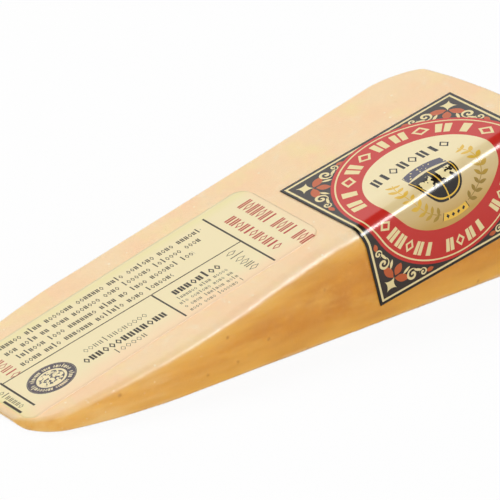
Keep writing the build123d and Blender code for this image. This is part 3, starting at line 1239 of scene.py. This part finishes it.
def cross_row(kind, start, end, low_s, high_s, count, *rest):
    """A row of marks that runs across the label, from its far side to its near one."""
    across = (start - y) * (count / (start - end))
    return kind(across, (s - low_s) / (high_s - low_s), count, *rest)


short_rows = any_of(along_row(*sizes) for sizes in ALONG_ROWS)
short_rows = short_rows | any_of(cross_row(strokes, *sizes) for sizes in CROSS_ROWS)
headings = any_of(cross_row(ornaments, *sizes) for sizes in HEADINGS)
print("With its headings the panel takes", len(tree.nodes), "nodes")

# %% [markdown]
# The seal is a dark oval ring with a circle of marks left out of it, a thin line round it, and a figure
# of no particular shape in the middle.

# %% Draw the seal
SEAL = (25.5, 16.9, 6.2, 4.9)
SEAL_BAND, SEAL_LINE, SEAL_INSIDE = (0.79, 0.17), (0.985, 0.02), 0.52
BEAD_COUNT, BEADS_PER_RADIAN = 44, 7.0
BEADS_LOW, BEADS_TALL = 0.66, 0.26

seal = disc(s, y, *SEAL)
turn = (y - SEAL[1]).math("ARCTAN2", s - SEAL[0]) * BEADS_PER_RADIAN
beads = strokes(turn + BEAD_COUNT / 2, (seal - BEADS_LOW) / BEADS_TALL, BEAD_COUNT, seed=19.0, weight=1.7)
seal_ink = (seal.near(*SEAL_BAND) - beads) | seal.near(*SEAL_LINE)
figure = (seal < SEAL_INSIDE) & (noise_at(uv, size=0.8) > 0.53)
print("With its seal the panel takes", len(tree.nodes), "nodes")

# %% [markdown]
# Last come the panel's own colours. The cheese's colour takes over in two places: at the near edge, along
# a wavy border, and in the last three millimetres towards the rind. A greener tint lies along the far
# edge and at the tip.

# %% Colour the panel and its print
PANEL = paint(239, 224, 180)
PANEL_MELT = paint(247, 215, 175)
PANEL_GREEN = paint(231, 221, 152)
TEXT_INK = paint(52, 42, 28)
TEXT_RED = paint(178, 48, 34)
STAMP = paint(84, 76, 82)
BORDER_WAVE = 5.0
MELT_NEAR, MELT_RIND, MELT_RIND_SHARE = (14.5, 9.0), (96.5, 99.5), 0.7
TINT_RISE, TINT_FALL, TINT_TIP, TINT_SHARE = (34.5, 37.0), (38.2, 37.0), (17.0, 13.0), 0.5

wavy_y = y + (noise_at(uv, size=9.0, detail=1.0) - 0.5) * BORDER_WAVE
melt = wavy_y.ramp(*MELT_NEAR) | s.ramp(*MELT_RIND) * MELT_RIND_SHARE
tint = (y.ramp(*TINT_RISE) * y.ramp(*TINT_FALL) | s.ramp(*TINT_TIP)) * TINT_SHARE
colour = mix(PANEL, PANEL_MELT, melt)
colour = mix(colour, PANEL_GREEN, tint)
colour = mix(colour, TEXT_INK, rules | long_rule | body | small | short_rows)
colour = mix(colour, TEXT_RED, headings)
colour = mix(colour, STAMP, seal_ink | figure)
feed(shader, Base_Color=colour, Roughness=0.3, Specular_IOR_Level=0.3)
print("The long label's finish has", len(tree.nodes), "nodes")

# %% [markdown]
# ## Tie the pieces to the frame
#
# Each piece now moves with the frame's root body, and the CAD pieces that they stand in for are hidden.

# %% Tie the pieces
for piece in (cheese, film, crest, text):
    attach(piece, "root")
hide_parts("wrapped_wedge")
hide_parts("wrapped_wedge")
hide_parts("crest_label")
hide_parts("text_label")
print("The pieces are tied")

# %% [markdown]
# ## Floor and surroundings
#
# The object stands on a plain white floor in a white room. The floor is mostly bright in itself for the
# camera, so that it stays white, but it still shows the soft shadow under the wedge. It lies a hair under
# the wedge, so that the two surfaces don't fight over one plane. The room looks white to the camera and
# in reflections, and lights the wedge at less than half of that.

# %% Floor
FLOOR_SIZE = 4.0
FLOOR_DROP = 0.05 * MM
FLOOR_WHITE = (0.9, 0.9, 0.9, 1)
FLOOR_GLOW = 0.93

floor_material = bpy.data.materials.new("floor")
tree, shader = fresh(floor_material)
feed(shader, Base_Color=FLOOR_WHITE, Roughness=0.9)
seen = add_node(tree, "ShaderNodeLightPath", output="Is Camera Ray") * FLOOR_GLOW
matt, glow = Term(tree, shader.outputs[0]), add_node(tree, "ShaderNodeEmission")
show(seen.node("ShaderNodeMixShader", {0: seen, 1: matt, 2: glow}))
plate = bmesh.new()
bmesh.ops.create_grid(plate, x_segments=1, y_segments=1, size=FLOOR_SIZE / 2)
bmesh.ops.translate(plate, verts=plate.verts, vec=(0, 0, -FLOOR_DROP))
floor = finished(plate, "floor", floor_material, smooth=False)
print("The floor is", FLOOR_SIZE, "m wide")

# %% Room
ROOM_WHITE = (1, 1, 1, 1)
ROOM_LIGHT = 0.4

world = bpy.data.worlds.new("room")
bpy.context.scene.world = world
world.use_nodes = True
tree = world.node_tree
path = tree.nodes.new("ShaderNodeLightPath")
bright = any_of(
    Term(tree, path.outputs[name]) for name in ("Is Camera Ray", "Is Glossy Ray", "Is Transmission Ray")
)
strength = bright * (1 - ROOM_LIGHT) + ROOM_LIGHT
background = tree.nodes["Background"]
background.inputs["Color"].default_value = ROOM_WHITE
tree.links.new(strength.output, background.inputs["Strength"])
print("The room gives", ROOM_LIGHT, "of white to everything that is lit")

# %% [markdown]
# ## Lights
#
# A large soft light above and behind the wedge is the key, and a weaker one in front fills the near side.
# Neither is seen in reflections. The other two are seen in nothing else: a narrow bright strip that the
# film mirrors as a white line along the near fold, and a broad sheen behind that pales the far part of
# the square label. A dark card hangs over the wedge for reflections alone, and gives the glossy film
# something dark to show between them.

# %% Lights
FOLD = Vector((0.03, -0.022, 0.03))
STRIP_WAY = Vector((0.244, -0.522, 0.817))


def area_light(name, place, target, size, power, mirrored):
    """A rectangular light that shines from a place towards a target."""
    data = bpy.data.lights.new(name, "AREA")
    data.shape = "RECTANGLE"
    data.size, data.size_y = size
    data.energy = power
    lamp = bpy.data.objects.new(name, data)
    lamp.location = place
    lamp.rotation_euler = (Vector(target) - Vector(place)).to_track_quat("-Z", "Y").to_euler()
    lamp.visible_glossy, lamp.visible_diffuse = mirrored, not mirrored
    bpy.context.scene.collection.objects.link(lamp)


area_light("key", (-0.2, 0.75, 1.1), (0, 0, 0), size=(1.0, 0.8), power=10.6, mirrored=False)
area_light("fill", (-0.3, -1.2, 0.55), (0, 0, 0), size=(0.9, 0.6), power=6.4, mirrored=False)
area_light("strip", FOLD + STRIP_WAY, FOLD, size=(0.45, 0.22), power=9.0, mirrored=True)
area_light("sheen", (0.5, 1.2, 1.3), FOLD, size=(1.4, 0.7), power=2.0, mirrored=True)
print("There are", len(bpy.data.lights), "lights")

# %% The dark card
CARD_SIZE = (2.4, 2.1, 1)
CARD_PLACE = (0.3, -0.3, 1.25)
CARD_DARK = (0.02, 0.02, 0.02, 1)

flag_material = bpy.data.materials.new("flag")
tree, shader = fresh(flag_material)
feed(shader, Base_Color=CARD_DARK, Roughness=1.0)
card = bmesh.new()
bmesh.ops.create_grid(card, x_segments=1, y_segments=1, size=0.5)
bmesh.ops.scale(card, verts=card.verts, vec=CARD_SIZE)
bmesh.ops.translate(card, verts=card.verts, vec=CARD_PLACE)
flag = finished(card, "flag", flag_material, smooth=False)
flag.visible_camera = flag.visible_diffuse = flag.visible_shadow = flag.visible_transmission = False
print("The card hangs", CARD_PLACE[2], "m over the floor")

# %% [markdown]
# ## Camera
#
# A long lens from above and in front shows the near side, the sloping face and most of the square label.
# The camera is placed by the point it looks at, measured from the axle, and by its direction: how far it
# is turned from facing along Y, and how far it looks down. Two small shifts then centre the view.

# %% Camera
LENS = 365.6
CAMERA_AWAY = 1.1739
AZIMUTH = -0.67353
TILT = 0.46912
AIM = Vector((83.152, 23.478, 14.674)) * MM
SHIFT_RIGHT = 2.99 * MM
SHIFT_UP = 2.38 * MM

across, forward = (math.cos(AZIMUTH), math.sin(AZIMUTH)), (-math.sin(AZIMUTH), math.cos(AZIMUTH))
rightward = Vector((*across, 0))
upward = Vector((forward[0] * math.sin(TILT), forward[1] * math.sin(TILT), math.cos(TILT)))
ahead = Vector((forward[0] * math.cos(TILT), forward[1] * math.cos(TILT), -math.sin(TILT)))
target = AXLE + AIM + rightward * SHIFT_RIGHT + upward * SHIFT_UP
camera_data = bpy.data.cameras.new("camera")
camera_data.lens = LENS
camera = bpy.data.objects.new("camera", camera_data)
camera.location = target - ahead * CAMERA_AWAY
camera.rotation_euler = ahead.to_track_quat("-Z", "Y").to_euler()
bpy.context.scene.collection.objects.link(camera)
bpy.context.scene.camera = camera
bpy.context.scene.view_settings.view_transform = "Standard"
print("The camera stands", round((camera.location - target).length, 3), "m away")
